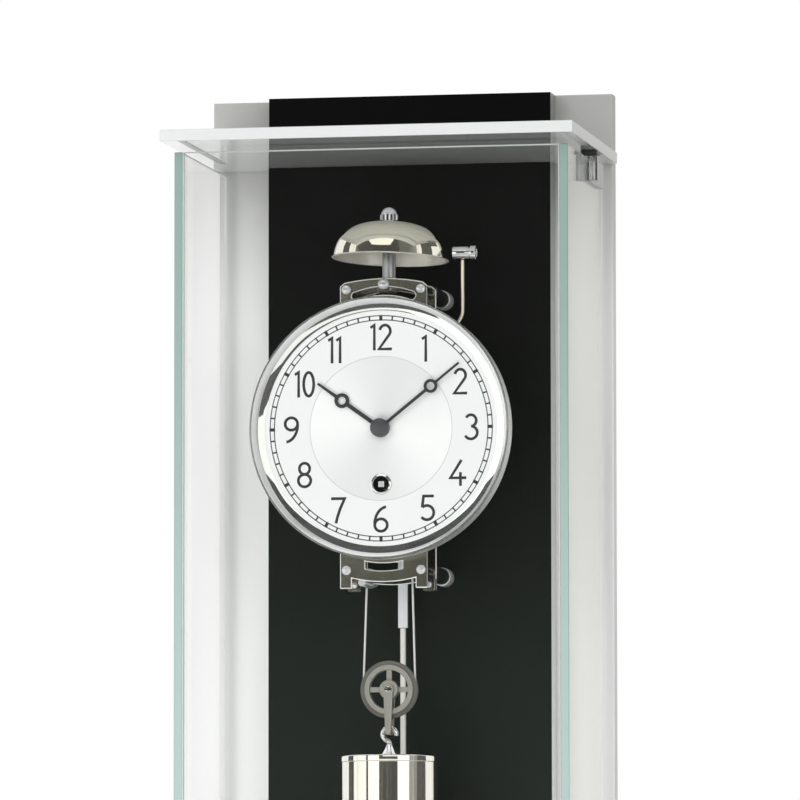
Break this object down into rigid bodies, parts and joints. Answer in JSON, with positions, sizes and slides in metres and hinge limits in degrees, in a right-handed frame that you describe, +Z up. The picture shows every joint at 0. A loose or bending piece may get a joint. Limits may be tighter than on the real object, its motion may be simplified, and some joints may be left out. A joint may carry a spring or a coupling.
{
  "type": "regulator wall clock",
  "caption": "Weight-driven regulator wall clock: black panel on a silver board, round dial and top bell in a hinged glass hood between two shelves.",
  "frame": {"origin": "on the board's rear face, on its centre line, 60 mm below its top edge, where it meets the wall", "axes": "+Z up, +X right as seen from the front, +Y into the wall, so the clock faces -Y"},
  "size_m": [0.2715, 0.192, 0.88],
  "materials": {
    "silver": "satin silver lacquer on fibreboard",
    "black": "black lacquer on fibreboard",
    "shelf_white": "white gloss",
    "glass": "clear, polished edges",
    "chrome": "polished",
    "nickel": "polished nickel",
    "plate_nickel": "brushed nickel",
    "steel": "bright steel",
    "brass": "polished",
    "dial_white": "silver white, satin",
    "hand_charcoal": "charcoal, matte",
    "leader_white": "pale grey, satin",
    "cable_steel": "twisted wire"
  },
  "bodies": {
    "case": {"backboard": "silver", "black_panel": "black", "top_shelf": "shelf_white", "bottom_shelf": "shelf_white", "hanger_plate": "steel", "hinge_base_top": "chrome", "hinge_base_bottom": "chrome", "front_plate": "plate_nickel", "back_plate": "plate_nickel", "pillar_top_left": "plate_nickel", "pillar_top_right": "plate_nickel", "pillar_bottom_left": "plate_nickel", "pillar_bottom_right": "plate_nickel", "mounting_post_top_left": "chrome", "mounting_post_top_right": "chrome", "mounting_post_bottom_left": "chrome", "mounting_post_bottom_right": "chrome", "bell_bridge": "plate_nickel", "bell_post": "chrome", "bell": "nickel", "bell_nut": "chrome", "dial": "dial_white", "bezel": "chrome", "winding_grommet": "chrome", "suspension_cock": "brass", "cable_anchor": "steel", "cable_left": "cable_steel", "cable_right": "cable_steel"},
    "hood": {"glass_front": "glass", "glass_left": "glass", "glass_right": "glass", "hinge_clamp_top": "chrome", "hinge_clamp_bottom": "chrome"},
    "drum": {"winding_drum": "brass", "cable_winding": "cable_steel"},
    "great": {"great_wheel": "brass"},
    "intermediate": {"intermediate_wheel": "brass"},
    "centre": {"centre_wheel": "brass"},
    "third": {"third_wheel": "brass"},
    "escape": {"escape_wheel": "brass"},
    "pallets": {"pallet_anchor": "steel", "crutch": "steel"},
    "minute": {"cannon_pinion": "steel", "minute_hand": "hand_charcoal", "hand_nut": "hand_charcoal"},
    "minute_gear": {"minute_wheel": "brass"},
    "hour": {"hour_wheel": "brass", "hour_hand": "hand_charcoal"},
    "hammer": {"hammer_arbor": "steel", "hammer_head": "nickel"},
    "weight_set": {"stirrup": "steel", "weight_hook": "steel", "weight": "nickel", "cable_wrap": "cable_steel"},
    "pulley_wheel": {"pulley": "nickel"},
    "pendulum": {"suspension_spring": "steel", "pendulum_leader": "leader_white", "pendulum_rod": "steel", "pendulum_bob": "nickel", "rating_nut": "brass"}
  },
  "joints": [
    {"name": "hood_swing", "type": "hinge", "parent": "case", "child": "hood", "pos_m": [0.13265, -0.088, 0], "axis": [0, 0, 1], "range_deg": [0, 95]},
    {"name": "pendulum_swing", "type": "hinge", "parent": "case", "child": "pendulum", "pos_m": [0, -0.05, -0.12507], "axis": [0, 1, 0], "range_deg": [-3.5, 3.5]},
    {"name": "pallet_swing", "type": "hinge", "parent": "case", "child": "pallets", "pos_m": [0, -0.1004, -0.12507], "axis": [0, 1, 0], "range_deg": [-3.5, 3.5]},
    {"name": "hammer_swing", "type": "hinge", "parent": "case", "child": "hammer", "pos_m": [0.0224, -0.1004, -0.1331], "axis": [0, 1, 0], "range_deg": [-1.3, 6], "stiffness_Nm_per_rad": 0.2, "springref_deg": -0.72},
    {"name": "minute_spin", "type": "hinge", "parent": "case", "child": "minute", "pos_m": [0, -0.1004, -0.1685], "axis": [0, 1, 0], "continuous": true},
    {"name": "hour_spin", "type": "hinge", "parent": "case", "child": "hour", "pos_m": [0, -0.1004, -0.1685], "axis": [0, 1, 0], "continuous": true},
    {"name": "minute_gear_spin", "type": "hinge", "parent": "case", "child": "minute_gear", "pos_m": [0.01448, -0.1004, -0.1617], "axis": [0, 1, 0], "continuous": true},
    {"name": "escape_spin", "type": "hinge", "parent": "case", "child": "escape", "pos_m": [0, -0.1004, -0.14274], "axis": [0, 1, 0], "continuous": true},
    {"name": "third_spin", "type": "hinge", "parent": "case", "child": "third", "pos_m": [0.011, -0.1004, -0.15338], "axis": [0, 1, 0], "continuous": true},
    {"name": "centre_spin", "type": "hinge", "parent": "case", "child": "centre", "pos_m": [0, -0.1004, -0.1685], "axis": [0, 1, 0], "continuous": true},
    {"name": "intermediate_spin", "type": "hinge", "parent": "case", "child": "intermediate", "pos_m": [-0.0147, -0.1004, -0.18206], "axis": [0, 1, 0], "continuous": true},
    {"name": "great_spin", "type": "hinge", "parent": "case", "child": "great", "pos_m": [0, -0.1004, -0.2047], "axis": [0, 1, 0], "continuous": true},
    {"name": "weight_drop", "type": "slide", "parent": "case", "child": "weight_set", "axis": [0, 0, -1], "range_m": [-0.036, 0.205], "deforming": ["cable_left", "cable_right"]},
    {"name": "pulley_spin", "type": "hinge", "parent": "weight_set", "child": "pulley_wheel", "pos_m": [0, -0.098, -0.336], "axis": [0, 1, 0], "range_deg": [-130, 700]},
    {"name": "drum_spin", "type": "hinge", "parent": "case", "child": "drum", "pos_m": [0, -0.098, -0.2047], "axis": [0, 1, 0], "range_deg": [-290, 1600]}
  ],
  "couplings": [
    {"joint": "pallet_swing", "follows": "pendulum_swing", "ratio": 1},
    {"joint": "hour_spin", "follows": "minute_spin", "ratio": 0.083333},
    {"joint": "minute_gear_spin", "follows": "minute_spin", "ratio": -0.33333},
    {"joint": "third_spin", "follows": "escape_spin", "ratio": -0.125},
    {"joint": "centre_spin", "follows": "escape_spin", "ratio": 0.0125},
    {"joint": "intermediate_spin", "follows": "escape_spin", "ratio": -0.0027778},
    {"joint": "great_spin", "follows": "escape_spin", "ratio": 0.00034722},
    {"joint": "pulley_spin", "follows": "weight_drop", "rad_per_m": 58.48},
    {"joint": "drum_spin", "follows": "weight_drop", "rad_per_m": 136.05}
  ]
}
